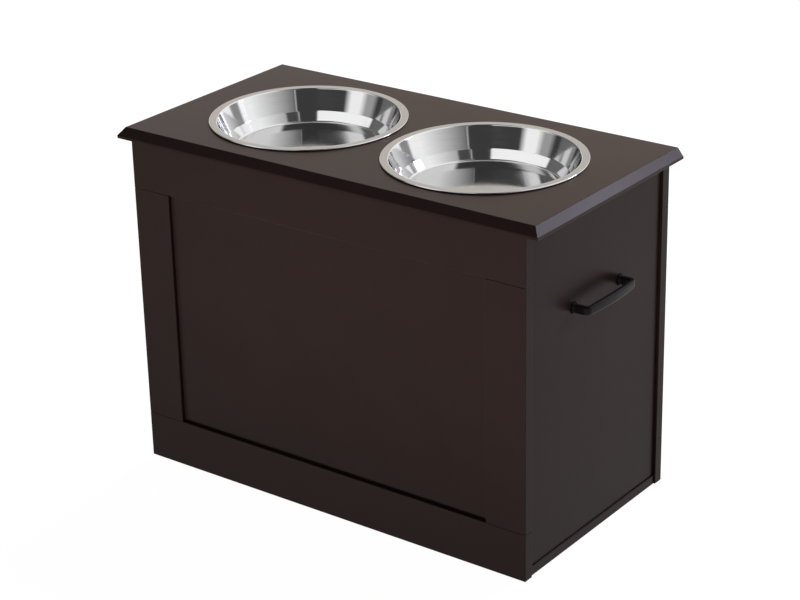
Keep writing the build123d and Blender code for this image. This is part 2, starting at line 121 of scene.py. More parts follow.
def ring_mesh(name, rings, along):
    """A closed mesh of rings, each joined to the next by quads, with a fan of triangles over each end.

    rings has the shape (rows, columns, 3). Row i and column j of the UV map are along[i], in metres,
    and j / columns, so the U direction follows the rows.
    """
    rows, columns = rings.shape[:2]
    index = np.arange(rows * columns).reshape(rows, columns)
    after = np.roll(index, -1, axis=1)
    quads = np.stack([index[:-1], index[1:], after[1:], after[:-1]], axis=-1).reshape(-1, 4)
    poles = rows * columns + np.arange(2)
    start = np.stack([np.full(columns, poles[0]), index[0], after[0]], axis=-1)
    end = np.stack([np.full(columns, poles[1]), after[-1], index[-1]], axis=-1)
    points = np.concatenate([rings.reshape(-1, 3), rings[0].mean(0)[None], rings[-1].mean(0)[None]])
    mesh = bpy.data.meshes.new(name)
    mesh.from_pydata(points.tolist(), [], quads.tolist() + start.tolist() + end.tolist())
    share = np.arange(columns + 1) / columns
    u = np.broadcast_to(along[:, None], (rows, columns + 1))
    v = np.broadcast_to(share[None, :], (rows, columns + 1))
    uv = np.stack([u, v], axis=-1)
    quad_uv = np.stack([uv[:-1, :-1], uv[1:, :-1], uv[1:, 1:], uv[:-1, 1:]], axis=2).reshape(-1, 2)
    start_uv = np.stack([uv[0, :-1], uv[0, :-1], uv[0, 1:]], axis=1).reshape(-1, 2)
    end_uv = np.stack([uv[-1, :-1], uv[-1, 1:], uv[-1, :-1]], axis=1).reshape(-1, 2)
    layer = mesh.uv_layers.new(name="surface")
    layer.data.foreach_set("uv", np.concatenate([quad_uv, start_uv, end_uv]).astype(np.float32).ravel())
    mesh.polygons.foreach_set("use_smooth", np.ones(len(mesh.polygons), bool))
    mesh.update()
    return mesh


def turned_rings(profile, centre, columns):
    """Rings of a surface turned about a vertical axis: (r cos a, r sin a, z) round the centre."""
    angles = np.arange(columns) * 2 * np.pi / columns
    x = centre[0] + profile[:, :1] * np.cos(angles)
    y = centre[1] + profile[:, :1] * np.sin(angles)
    z = np.broadcast_to(profile[:, 1:], x.shape)
    return np.stack([x, y, z], axis=-1)


def swept_rings(path, half_widths, half_heights, powers, columns):
    """Rings of a bar along a level path, each a superellipse |u / w| ** p + |v / h| ** p = 1.

    u is measured across the path in its plane, and v is upwards.
    """
    tangent = np.gradient(path, axis=0)
    tangent = tangent / np.linalg.norm(tangent, axis=1)[:, None]
    across = np.stack([tangent[:, 1], -tangent[:, 0]], axis=1)
    angles = np.arange(columns) * 2 * np.pi / columns
    share = 2 / powers[:, None]
    u = half_widths[:, None] * np.sign(np.cos(angles)) * np.abs(np.cos(angles)) ** share
    v = half_heights[:, None] * np.sign(np.sin(angles)) * np.abs(np.sin(angles)) ** share
    x = path[:, :1] + across[:, :1] * u
    y = path[:, 1:] + across[:, 1:] * u
    return np.stack([x, y, v], axis=-1)


def add_piece(mesh, body, material, replaced):
    """Puts a mesh in the scene on its body, in place of a CAD node."""
    piece = bpy.data.objects.new(mesh.name, mesh)
    bpy.context.scene.collection.objects.link(piece)
    mesh.materials.append(material)
    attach(piece, body)
    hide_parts(replaced)
    return piece


def dress(names, material):
    """Gives CAD nodes a material."""
    for name in names:
        mesh = NODES[name].data
        mesh.materials.clear()
        mesh.materials.append(material)


# ---- Shader node groups -------------------------------------------------------------------------------

def node(tree, kind, inputs=None, **settings):
    """A new node of a tree with its settings, and its inputs set to values or linked to sockets."""
    made = tree.nodes.new(kind)
    for name, value in settings.items():
        setattr(made, name, value)
    for name, value in (inputs or {}).items():
        if isinstance(value, bpy.types.NodeSocket):
            tree.links.new(value, made.inputs[name])
        else:
            made.inputs[name].default_value = value
    return made


def math_node(tree, operation, first, second=0.0, clamp=False):
    """The result of a Math node on two values or sockets."""
    made = node(tree, "ShaderNodeMath", {0: first, 1: second}, operation=operation, use_clamp=clamp)
    return made.outputs[0]


def plus_share(tree, value, mask, amount):
    """A value plus a mask times an amount."""
    return math_node(tree, "ADD", value, math_node(tree, "MULTIPLY", mask, amount))


def colour_between(tree, factor, low, high):
    """A colour from low to high."""
    return node(tree, "ShaderNodeMix", {0: factor, 6: low, 7: high}, data_type="RGBA").outputs[2]


def level_between(tree, factor, low, high):
    """A number from low to high."""
    return node(tree, "ShaderNodeMix", {0: factor, 2: low, 3: high}, data_type="FLOAT").outputs[0]


def empty_tree(owner):
    """The node tree of a material or a world, without its nodes."""
    owner.use_nodes = True
    owner.node_tree.nodes.clear()
    return owner.node_tree


def effect_group(name, inputs, outputs, build):
    """A shader node group, made once: inputs and outputs map a socket's name to its type and default."""
    group = bpy.data.node_groups.get(name)
    if group is None:
        group = bpy.data.node_groups.new(name, "ShaderNodeTree")
        for label, (kind, default) in inputs.items():
            socket = group.interface.new_socket(label, in_out="INPUT", socket_type=kind)
            if default is not None:
                socket.default_value = default
        for label, kind in outputs.items():
            group.interface.new_socket(label, in_out="OUTPUT", socket_type=kind)
        source = group.nodes.new("NodeGroupInput")
        drain = group.nodes.new("NodeGroupOutput")
        for label, value in build(group, source.outputs).items():
            group.links.new(value, drain.inputs[label])
    return group


def place_group(tree, group, inputs):
    """A copy of a node group in a tree."""
    return node(tree, "ShaderNodeGroup", inputs, node_tree=group)


def noise(tree, vector, scale, detail=2.0, roughness=0.5):
    """Noise from 0 to 1, with so many cells to the metre."""
    return node(tree, "ShaderNodeTexNoise",
                {"Vector": vector, "Scale": scale, "Detail": detail, "Roughness": roughness}).outputs["Fac"]


def spread(tree, noise_value, low, high):
    """Turns noise, which mostly lies from 0.25 to 0.75, into a value from low to high with eased ends."""
    return node(tree, "ShaderNodeMapRange",
                {"Value": noise_value, "From Min": 0.25, "From Max": 0.75, "To Min": low, "To Max": high},
                interpolation_type="SMOOTHSTEP").outputs["Result"]


def sprayed_film():
    """Sprayed paint: fine orange peel on slow waves in the film, and faint clouds in its colour."""
    def build(tree, sockets):
        peel = noise(tree, sockets["Vector"], sockets["Peel per metre"], detail=3.0, roughness=0.6)
        wave = noise(tree, sockets["Vector"], sockets["Waves per metre"], detail=1.0)
        cloud = noise(tree, sockets["Vector"], sockets["Clouds per metre"], detail=4.0, roughness=0.55)
        return {"Height": plus_share(tree, wave, peel, sockets["Peel to waves"]), "Cloud": cloud}
    return effect_group("sprayed film", {
        "Vector": ("NodeSocketVector", None),
        "Peel per metre": ("NodeSocketFloat", 900.0),
        "Waves per metre": ("NodeSocketFloat", 70.0),
        "Clouds per metre": ("NodeSocketFloat", 14.0),
        "Peel to waves": ("NodeSocketFloat", 0.08),
    }, {"Height": "NodeSocketFloat", "Cloud": "NodeSocketFloat"}, build)


def polishing_lines():
    """Lines left by polishing on a lathe: noise that changes fast along the profile and slowly round it.

    The noise is read at (x / r, y / r) times Round, with the length along the profile times the lines per
    metre as its third place. The bands are the same noise read slower along the profile.
    """
    def build(tree, sockets):
        flat = node(tree, "ShaderNodeVectorMath",
                    {0: sockets["Vector"], 1: (1.0, 1.0, 0.0)}, operation="MULTIPLY").outputs[0]
        spoke = node(tree, "ShaderNodeVectorMath", {0: flat}, operation="NORMALIZE").outputs[0]
        parts = node(tree, "ShaderNodeSeparateXYZ", {0: spoke})
        round_x = math_node(tree, "MULTIPLY", parts.outputs["X"], sockets["Round"])
        round_y = math_node(tree, "MULTIPLY", parts.outputs["Y"], sockets["Round"])
        fast = math_node(tree, "MULTIPLY", sockets["Along"], sockets["Lines per metre"])
        slow = math_node(tree, "MULTIPLY", fast, sockets["Bands to lines"])
        fine = node(tree, "ShaderNodeCombineXYZ", {"X": round_x, "Y": round_y, "Z": fast}).outputs[0]
        coarse = node(tree, "ShaderNodeCombineXYZ", {"X": round_x, "Y": round_y, "Z": slow}).outputs[0]
        lines = noise(tree, fine, 1.0, detail=4.0, roughness=0.65)
        return {"Lines": lines, "Bands": noise(tree, coarse, 1.0)}
    return effect_group("polishing lines", {
        "Vector": ("NodeSocketVector", None),
        "Along": ("NodeSocketFloat", 0.0),
        "Round": ("NodeSocketFloat", 3.0),
        "Lines per metre": ("NodeSocketFloat", 2500.0),
        "Bands to lines": ("NodeSocketFloat", 0.13),
    }, {"Lines": "NodeSocketFloat", "Bands": "NodeSocketFloat"}, build)


def handling_marks():
    """Faint smudges where hands and cloths have been: two sizes of noise multiplied together."""
    def build(tree, sockets):
        large = noise(tree, sockets["Vector"], sockets["Marks per metre"])
        fine_scale = math_node(tree, "MULTIPLY", sockets["Marks per metre"], sockets["Fine to large"])
        small = noise(tree, sockets["Vector"], fine_scale, detail=5.0, roughness=0.7)
        return {"Mark": math_node(tree, "MULTIPLY", spread(tree, large, 0.0, 1.0), small)}
    return effect_group("handling marks", {
        "Vector": ("NodeSocketVector", None),
        "Marks per metre": ("NodeSocketFloat", 12.0),
        "Fine to large": ("NodeSocketFloat", 7.0),
    }, {"Mark": "NodeSocketFloat"}, build)


# ---- Materials ----------------------------------------------------------------------------------------

def new_material(name):
    """A node material with its Principled BSDF, and the object's own coordinates."""
    material = bpy.data.materials.new(name)
    tree = empty_tree(material)
    shader = tree.nodes.new("ShaderNodeBsdfPrincipled")
    node(tree, "ShaderNodeOutputMaterial", {"Surface": shader.outputs["BSDF"]})
    own = tree.nodes.new("ShaderNodeTexCoord").outputs["Object"]
    return material, tree, shader, own


def wire(tree, shader, colour, roughness, normal):
    """Links what changes over the surface to the shader."""
    for name, socket in (("Base Color", colour), ("Roughness", roughness), ("Normal", normal)):
        tree.links.new(socket, shader.inputs[name])


def shade(colour, factor):
    """A colour made lighter or darker, as RGBA."""
    return (colour[0] * factor, colour[1] * factor, colour[2] * factor, 1.0)


def bump(tree, height, distance):
    """The normal of a relief: height from 0 to 1, and the depth in metres that 1 stands for."""
    return node(tree, "ShaderNodeBump", {"Height": height, "Distance": distance}).outputs["Normal"]


def front_mask(tree):
    """1 on faces that look to the front, 0 on those that look up or to a side, by how far -Y they face."""
    normal = node(tree, "ShaderNodeTexCoord").outputs["Normal"]
    facing = node(tree, "ShaderNodeSeparateXYZ", {0: normal}).outputs["Y"]
    return node(tree, "ShaderNodeMapRange",
                {"Value": facing, "From Min": -0.45, "From Max": -0.7}).outputs["Result"]


def painted_board(name, gloss, front_wear=0.0):
    """Dark brown satin paint on board; the faces that look to the front may be rubbed duller."""
    paint = bpy.context.scene.feeder_paint
    material, tree, shader, own = new_material(name)
    film = place_group(tree, sprayed_film(), {"Vector": own})
    marks = place_group(tree, handling_marks(), {"Vector": own})
    cloud = spread(tree, film.outputs["Cloud"], 0.0, 1.0)
    colour = colour_between(tree, cloud, shade(paint.colour, 0.95), shade(paint.colour, 1.05))
    rough = plus_share(tree, paint.roughness, marks.outputs["Mark"], paint.smudges)
    if front_wear:
        rough = plus_share(tree, rough, front_mask(tree), front_wear)
    wire(tree, shader, colour, rough, bump(tree, film.outputs["Height"], paint.peel_depth))
    shader.inputs["Specular IOR Level"].default_value = gloss
    return material


def bowl_steel(centre):
    """Stainless steel polished on a lathe: reflections are drawn out across the polishing lines."""
    steel = bpy.context.scene.feeder_bowls
    material, tree, shader, own = new_material("bowl_steel")
    placed = node(tree, "ShaderNodeMapping", {"Vector": own, "Location": (-centre[0], -centre[1], 0.0)})
    surface = node(tree, "ShaderNodeUVMap", uv_map="surface")
    along = node(tree, "ShaderNodeSeparateXYZ", {0: surface.outputs["UV"]}).outputs["X"]
    lines = place_group(tree, polishing_lines(), {"Vector": placed.outputs[0], "Along": along})
    marks = place_group(tree, handling_marks(), {"Vector": own, "Marks per metre": 18.0})
    tone = spread(tree, lines.outputs["Lines"], 0.0, 1.0)
    colour = colour_between(tree, tone, shade(steel.colour, 0.94), shade(steel.colour, 1.03))
    bands = spread(tree, lines.outputs["Bands"], -steel.band_contrast, steel.band_contrast)
    rough = math_node(tree, "ADD", bands, steel.roughness)
    wire(tree, shader, colour, plus_share(tree, rough, marks.outputs["Mark"], steel.smudges),
         bump(tree, lines.outputs["Lines"], steel.line_depth))
    shader.inputs["Metallic"].default_value = 1.0
    shader.inputs["Anisotropic"].default_value = steel.drawing_out
    tangent = node(tree, "ShaderNodeTangent", direction_type="UV_MAP", uv_map="surface")
    tree.links.new(tangent.outputs["Tangent"], shader.inputs["Tangent"])
    return material


def handle_black():
    """Black satin coating on cast metal."""
    black = bpy.context.scene.feeder_handles
    material, tree, shader, own = new_material("handle_black")
    film = place_group(tree, sprayed_film(),
                       {"Vector": own, "Peel per metre": 2600.0, "Waves per metre": 420.0})
    marks = place_group(tree, handling_marks(), {"Vector": own, "Marks per metre": 60.0})
    colour = colour_between(tree, film.outputs["Cloud"], shade(black.colour, 0.8), shade(black.colour, 1.2))
    wire(tree, shader, colour, plus_share(tree, black.roughness, marks.outputs["Mark"], black.smudges),
         bump(tree, film.outputs["Height"], black.peel_depth))
    shader.inputs["Specular IOR Level"].default_value = black.gloss
    return material


def plated_metal(name, colour, roughness, grain_per_metre):
    """Plated or cast metal with a fine grain and dulled patches."""
    fittings = bpy.context.scene.feeder_fittings
    material, tree, shader, own = new_material(name)
    marks = place_group(tree, handling_marks(), {"Vector": own, "Marks per metre": 90.0})
    grain = noise(tree, own, grain_per_metre, detail=3.0, roughness=0.6)
    dulled = colour_between(tree, marks.outputs["Mark"], shade(colour, 1.05), shade(colour, 0.75))
    wire(tree, shader, dulled, plus_share(tree, roughness, marks.outputs["Mark"], fittings.smudges),
         bump(tree, grain, fittings.metal_relief))
    shader.inputs["Metallic"].default_value = 1.0
    return material


def dowel_wood():
    """Bare hardwood dowel with its grain."""
    fittings = bpy.context.scene.feeder_fittings
    material, tree, shader, own = new_material("dowel_wood")
    stretched = node(tree, "ShaderNodeMapping", {"Vector": own, "Scale": (1.0, 0.12, 0.12)})
    grain = noise(tree, stretched.outputs[0], scale=900.0, detail=4.0, roughness=0.6)
    colour = colour_between(tree, grain, (*fittings.wood_dark, 1.0), (*fittings.wood_light, 1.0))
    rough = spread(tree, grain, 0.55, 0.75)
    wire(tree, shader, colour, rough, bump(tree, grain, fittings.wood_relief))
    return material


# ---- Settings -----------------------------------------------------------------------------------------

class FeederPaint(bpy.types.PropertyGroup):
    """Paint of the boards."""
    colour: bpy.props.FloatVectorProperty(
        name="Paint", description="Colour of the boards", subtype="COLOR", size=3, min=0.0, max=1.0,
        default=(0.0444, 0.0259, 0.0216))
    roughness: bpy.props.FloatProperty(
        name="Roughness", description="How dull the paint is", subtype="FACTOR", min=0.0, max=1.0,
        default=0.285)
    gloss: bpy.props.FloatProperty(
        name="Gloss", description="Strength of the cabinet's reflections", subtype="FACTOR", min=0.0,
        max=1.0, default=0.06)
    lid_gloss: bpy.props.FloatProperty(
        name="Lid's gloss", description="Strength of the lid's reflections", subtype="FACTOR", min=0.0,
        max=1.0, default=0.1)
    edge_wear: bpy.props.FloatProperty(
        name="Front edge wear", description="How much duller the lid's front edge is", subtype="FACTOR",
        min=0.0, max=1.0, default=0.5)
    smudges: bpy.props.FloatProperty(
        name="Smudges", description="How much duller a smudge is", subtype="FACTOR", min=0.0, max=1.0,
        default=0.04)
    peel_depth: bpy.props.FloatProperty(
        name="Film relief", description="Depth of the waves in the sprayed film", unit="LENGTH",
        precision=6, default=0.00003)


class FeederBowls(bpy.types.PropertyGroup):
    """Shape and finish of the two bowls."""
    rim_width: bpy.props.FloatProperty(
        name="Rim", description="Width of the flat ring", unit="LENGTH", precision=4, default=0.0078)
    depth: bpy.props.FloatProperty(
        name="Depth", description="From the rim's top to the inside of the floor", unit="LENGTH",
        precision=4, default=0.0385)
    wall_lean: bpy.props.FloatProperty(
        name="Wall lean", description="How far the wall leans out from upright", unit="ROTATION",
        default=math.radians(22.5))
    band_lean: bpy.props.FloatProperty(
        name="Band lean", description="The same for the band between the wall and the floor",
        unit="ROTATION", default=math.radians(34.0))
    band_height: bpy.props.FloatProperty(
        name="Band height", description="Height of that band", unit="LENGTH", precision=4, default=0.012)
    floor_bend: bpy.props.FloatProperty(
        name="Floor bend", description="Radius between floor and band", unit="LENGTH", precision=4,
        default=0.004)
    band_bend: bpy.props.FloatProperty(
        name="Band bend", description="Radius between band and wall", unit="LENGTH", precision=4,
        default=0.006)
    mouth_bend: bpy.props.FloatProperty(
        name="Mouth bend", description="Radius between wall and rim", unit="LENGTH", precision=4,
        default=0.0025)
    sheet: bpy.props.FloatProperty(
        name="Sheet", description="Thickness of the steel", unit="LENGTH", precision=4, default=0.0008)
    bead_radius: bpy.props.FloatProperty(
        name="Bead", description="Radius of the roll under the rim's edge", unit="LENGTH", precision=4,
        default=0.0011)
    colour: bpy.props.FloatVectorProperty(
        name="Steel", description="Colour of the steel", subtype="COLOR", size=3, min=0.0, max=1.0,
        default=(0.67, 0.67, 0.675))
    roughness: bpy.props.FloatProperty(
        name="Roughness", description="How dull the steel is", subtype="FACTOR", min=0.0, max=1.0,
        default=0.08)
    band_contrast: bpy.props.FloatProperty(
        name="Bands", description="How much duller or shinier a polished band is", subtype="FACTOR",
        min=0.0, max=1.0, default=0.02)
    smudges: bpy.props.FloatProperty(
        name="Smudges", description="How much duller a smudge is", subtype="FACTOR", min=0.0, max=1.0,
        default=0.03)
    drawing_out: bpy.props.FloatProperty(
        name="Drawing out", description="How far reflections are drawn out across the polishing lines",
        subtype="FACTOR", min=0.0, max=1.0, default=0.7)
    line_depth: bpy.props.FloatProperty(
        name="Line relief", description="Depth of the polishing lines", unit="LENGTH", precision=6,
        default=0.000004)


class FeederHandles(bpy.types.PropertyGroup):
    """Shape and finish of the two handles."""
    foot_spacing: bpy.props.FloatProperty(
        name="Feet", description="Distance between the middles of a handle's feet", unit="LENGTH",
        precision=4, default=0.097)
    corner_radius: bpy.props.FloatProperty(
        name="Corner", description="Radius of the middle line at a corner", unit="LENGTH", precision=4,
        default=0.005)
    bow: bpy.props.FloatProperty(
        name="Bow", description="How far the grip's middle line curves out", unit="LENGTH", precision=4,
        default=0.002)
    leg_width: bpy.props.FloatProperty(
        name="Leg", description="Width of a leg", unit="LENGTH", precision=4, default=0.0075)
    end_thickness: bpy.props.FloatProperty(
        name="Grip at its ends", description="Thickness of the grip next to a corner", unit="LENGTH",
        precision=4, default=0.0055)
    mid_thickness: bpy.props.FloatProperty(
        name="Grip at its middle", description="Thickness of the grip at its middle", unit="LENGTH",
        precision=4, default=0.0064)
    end_height: bpy.props.FloatProperty(
        name="Height", description="Height of the legs and of the grip's ends", unit="LENGTH", precision=4,
        default=0.0102)
    mid_height: bpy.props.FloatProperty(
        name="Height at its middle", description="Height of the grip at its middle", unit="LENGTH",
        precision=4, default=0.012)
    collar_margin: bpy.props.FloatProperty(
        name="Collar margin", description="How far a collar stands out round its leg", unit="LENGTH",
        precision=4, default=0.0012)
    collar_thickness: bpy.props.FloatProperty(
        name="Collar thickness", description="How far a collar stands off the end panel", unit="LENGTH",
        precision=4, default=0.0025)
    colour: bpy.props.FloatVectorProperty(
        name="Coating", description="Colour of the handles", subtype="COLOR", size=3, min=0.0, max=1.0,
        default=(0.012, 0.0098, 0.0105))
    roughness: bpy.props.FloatProperty(
        name="Roughness", description="How dull the coating is", subtype="FACTOR", min=0.0, max=1.0,
        default=0.285)
    gloss: bpy.props.FloatProperty(
        name="Gloss", description="Strength of the coating's reflections", subtype="FACTOR", min=0.0,
        max=1.0, default=0.09)
    smudges: bpy.props.FloatProperty(
        name="Smudges", description="How much duller a smudge is", subtype="FACTOR", min=0.0, max=1.0,
        default=0.1)
    peel_depth: bpy.props.FloatProperty(
        name="Film relief", description="Depth of the waves in the coating", unit="LENGTH", precision=6,
        default=0.00002)


class FeederFittings(bpy.types.PropertyGroup):
    """Finish of the hinges, screws, cam fittings and dowels."""
    hinge_colour: bpy.props.FloatVectorProperty(
        name="Hinges", description="Colour of the hinges' plating", subtype="COLOR", size=3, min=0.0,
        max=1.0, default=(0.58, 0.56, 0.52))
    screw_colour: bpy.props.FloatVectorProperty(
        name="Screws", description="Colour of the screws and cam bolts", subtype="COLOR", size=3, min=0.0,
        max=1.0, default=(0.60, 0.59, 0.56))
    cam_colour: bpy.props.FloatVectorProperty(
        name="Cam locks", description="Colour of the cast zinc", subtype="COLOR", size=3, min=0.0, max=1.0,
        default=(0.52, 0.52, 0.53))
    smudges: bpy.props.FloatProperty(
        name="Smudges", description="How much duller a smudge on the metal is", subtype="FACTOR", min=0.0,
        max=1.0, default=0.2)
    metal_relief: bpy.props.FloatProperty(
        name="Metal relief", description="Depth of the metal's grain", unit="LENGTH", precision=6,
        default=0.00003)
    wood_dark: bpy.props.FloatVectorProperty(
        name="Dark grain", description="Colour of the dowels' dark grain", subtype="COLOR", size=3, min=0.0,
        max=1.0, default=(0.42, 0.26, 0.13))
    wood_light: bpy.props.FloatVectorProperty(
        name="Light grain", description="Colour of the wood between the grain", subtype="COLOR", size=3,
        min=0.0, max=1.0, default=(0.66, 0.46, 0.27))
    wood_relief: bpy.props.FloatProperty(
        name="Wood relief", description="Depth of the dowels' grain", unit="LENGTH", precision=6,
        default=0.0001)


class FeederStudio(bpy.types.PropertyGroup):
    """Camera, lamps and floor."""
    azimuth: bpy.props.FloatProperty(
        name="Azimuth", description="Direction of the camera round the feeder, 0 at the front",
        unit="ROTATION", default=math.radians(36.96))
    elevation: bpy.props.FloatProperty(
        name="Elevation", description="Height of the camera above the horizon", unit="ROTATION",
        default=math.radians(23.33))
    roll: bpy.props.FloatProperty(
        name="Roll", description="Turn of the camera about its own line of sight", unit="ROTATION",
        default=math.radians(-1.27))
    distance: bpy.props.FloatProperty(
        name="Distance", description="From the camera to the point that it aims at", unit="LENGTH",
        default=2.742)
    aim: bpy.props.FloatVectorProperty(
        name="Aim", description="Point that the camera aims at", subtype="TRANSLATION", size=3,
        default=(-0.0003, 0.0017, 0.2252))
    lens: bpy.props.FloatProperty(
        name="Lens", description="Focal length in millimetres for a 36 mm wide picture", default=102.2)
    ambient: bpy.props.FloatProperty(
        name="Ambient", description="Level of the light from all round", default=0.065)
    floor_size: bpy.props.FloatProperty(
        name="Floor", description="Length of each side of the floor", unit="LENGTH", default=30.0)


# ---- Operators ----------------------------------------------------------------------------------------

class FEEDER_OT_boards(bpy.types.Operator):
    """Paint the boards of the cabinet and the lid"""
    bl_idname = "feeder.boards"
    bl_label = "Boards"

    def execute(self, context):
        paint = context.scene.feeder_paint
        dress(BOARDS, painted_board("painted_board", paint.gloss))
        dress(["lid_board"], painted_board("painted_lid", paint.lid_gloss, paint.edge_wear))
        return {"FINISHED"}


def bowl_profile(bowls, rim_radius, rim_top):
    """Closed section of a bowl from the middle of its floor, over the rim and the bead, and back below.

    The outer line is the inner one moved out by the sheet's thickness along its normal.
    """
    half_turn = (math.pi / 2 - bowls.wall_lean) / 2
    mouth = rim_radius - bowls.rim_width - bowls.mouth_bend * math.tan(half_turn)
    floor_z = rim_top - bowls.depth
    band_z = floor_z + bowls.band_height
    band = mouth - (rim_top - band_z) * math.tan(bowls.wall_lean)
    floor_edge = band - bowls.band_height * math.tan(bowls.band_lean)
    bead_x = rim_radius - bowls.bead_radius
    inner = rounded_line(
        [(0.0, floor_z), (floor_edge, floor_z), (band, band_z), (mouth, rim_top), (bead_x, rim_top)],
        [bowls.floor_bend, bowls.band_bend, bowls.mouth_bend], BEND_STEPS, RUN_STEPS)
    step = np.gradient(inner, axis=0)
    normal = np.stack([step[:, 1], -step[:, 0]], axis=1) / np.linalg.norm(step, axis=1)[:, None]
    outer = inner + normal * bowls.sheet
    turn = np.linspace(math.pi / 2, BEAD_END, BEAD_STEPS)[1:]
    bead = np.stack([bead_x + bowls.bead_radius * np.cos(turn),
                     rim_top - bowls.bead_radius + bowls.bead_radius * np.sin(turn)], axis=1)
    return np.concatenate([inner[1:], bead, outer[outer[:, 0] < bead[-1, 0]][:0:-1]])


class FEEDER_OT_bowls(bpy.types.Operator):
    """Turn the two steel bowls"""
    bl_idname = "feeder.bowls"
    bl_label = "Bowls"

    def execute(self, context):
        bowls = context.scene.feeder_bowls
        for name in ("bowl_left", "bowl_right"):
            low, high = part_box(name)
            centre = ((low.x + high.x) / 2, (low.y + high.y) / 2)
            profile = bowl_profile(bowls, (high.x - low.x) / 2, high.z)
            rings = turned_rings(profile, centre, BOWL_COLUMNS)
            mesh = ring_mesh(name + "_turned", rings, arc_length(profile))
            add_piece(mesh, name, bowl_steel(centre), name)
        return {"FINISHED"}


def collar_and_leg(handles):
    """Distances out along a collar and its leg, and how far the section grows past the leg's at each.

    The collar has straight sides and a round edge of radius r, which lies r * sin(a) out and
    r * (1 - cos(a)) in, and the leg widens a little where it meets the collar.
    """
    edge = handles.collar_thickness * COLLAR_ROUND
    curl = np.linspace(0, math.pi / 2, COLLAR_STEPS)
    collar = np.concatenate([[0.0], handles.collar_thickness - edge + edge * np.sin(curl)])
    collar_growth = np.concatenate([[0.0], edge * (np.cos(curl) - 1)]) + handles.collar_margin
    leg = handles.collar_thickness + np.array(LEG_RINGS)
    leg_growth = np.where(np.arange(len(leg)) == 0, LEG_FOOT, 0.0)
    return np.concatenate([collar, leg]), np.concatenate([collar_growth, leg_growth])


def corner_and_grip(handles, crown):
    """Middle lines of one corner and of the grip, as (x, y), where crown is the grip's furthest x.

    The grip is an arc of radius (c ** 2 + bow ** 2) / (2 * bow) over half a chord of c, and the corner
    turns from the leg until it meets the arc in its direction.
    """
    chord = handles.foot_spacing / 2 - handles.corner_radius
    arc_radius = (chord ** 2 + handles.bow ** 2) / (2 * handles.bow)
    slope = math.asin(chord / arc_radius)
    angles = np.linspace(math.pi / 2, slope, BEND_STEPS)
    meet_y = chord + handles.corner_radius * math.sin(slope)
    meet_x = crown - (arc_radius - math.sqrt(arc_radius ** 2 - meet_y ** 2))
    corner_x = meet_x - handles.corner_radius * math.cos(slope)
    corner = np.stack([corner_x + handles.corner_radius * np.cos(angles),
                       chord + handles.corner_radius * np.sin(angles)], axis=1)
    grip_y = np.linspace(meet_y, -meet_y, GRIP_STEPS)[1:-1]
    grip_x = crown - (arc_radius - np.sqrt(arc_radius ** 2 - grip_y ** 2))
    return corner, np.stack([grip_x, grip_y], axis=1)


def handle_rings(handles, reach):
    """Rings of a handle in its own frame: x out of the end panel, y along it, both from the middle.

    The middle line runs out along a leg, round a corner and along the grip, and back the same way. From
    where a corner meets the grip at y = m, thickness and height swell to the middle as 1 - (y / m) ** 2.
    """
    out, growth = collar_and_leg(handles)
    corner, grip = corner_and_grip(handles, reach - handles.mid_thickness / 2)
    arm = np.concatenate([np.stack([out, np.full(len(out), handles.foot_spacing / 2)], axis=1), corner])
    path = np.concatenate([arm, grip, arm[::-1] * (1, -1)])
    swell = np.clip(1 - (path[:, 1] / corner[-1, 1]) ** 2, 0, 1)
    turned = np.concatenate([np.zeros(len(out)), np.linspace(0, 1, len(corner))])
    arm_thickness = handles.leg_width + (handles.end_thickness - handles.leg_width) * turned
    grip_swell = swell[len(arm):-len(arm)]
    grip_thickness = handles.end_thickness + (handles.mid_thickness - handles.end_thickness) * grip_swell
    thickness = np.concatenate([arm_thickness, grip_thickness, arm_thickness[::-1]])
    height = handles.end_height + (handles.mid_height - handles.end_height) * swell
    growth = np.concatenate([growth, np.zeros(len(path) - 2 * len(growth)), growth[::-1]])
    power = np.where(growth > handles.collar_margin / 2, COLLAR_POWER, BAR_POWER)
    rings = swept_rings(path[::-1], (thickness / 2 + growth)[::-1], (height / 2 + growth)[::-1], power,
                        HANDLE_COLUMNS)
    return rings, arc_length(path)


class FEEDER_OT_handles(bpy.types.Operator):
    """Cast the two bow handles"""
    bl_idname = "feeder.handles"
    bl_label = "Handles"

    def execute(self, context):
        handles = context.scene.feeder_handles
        material = handle_black()
        for name, side in SIDES.items():
            low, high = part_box(name + "_handle")
            rings, along = handle_rings(handles, high.x - low.x)
            rings = rings * (side, side, 1)
            face = low.x if side > 0 else high.x
            rings = rings + (face, (low.y + high.y) / 2, (low.z + high.z) / 2)
            mesh = ring_mesh(name + "_bow_handle", rings, along)
            add_piece(mesh, "cabinet", material, name + "_handle")
        return {"FINISHED"}


class FEEDER_OT_fittings(bpy.types.Operator):
    """Finish the hinges, screws, cam fittings and dowels"""
    bl_idname = "feeder.fittings"
    bl_label = "Hinges and fasteners"

    def execute(self, context):
        fittings = context.scene.feeder_fittings
        dress(["hinge_body_leaves", "hinge_lid_leaves", "hinge_pins"],
              plated_metal("hinge_steel", fittings.hinge_colour, roughness=0.3, grain_per_metre=2500.0))
        dress(["hinge_body_screws", "hinge_lid_screws", "handle_screws", "bottom_screws", "cam_bolts"],
              plated_metal("screw_steel", fittings.screw_colour, roughness=0.28, grain_per_metre=3500.0))
        dress(["cam_locks"],
              plated_metal("cam_zinc", fittings.cam_colour, roughness=0.42, grain_per_metre=1800.0))
        dress(["stile_dowels", "bottom_dowels"], dowel_wood())
        return {"FINISHED"}


# ---- Studio -------------------------------------------------------------------------------------------

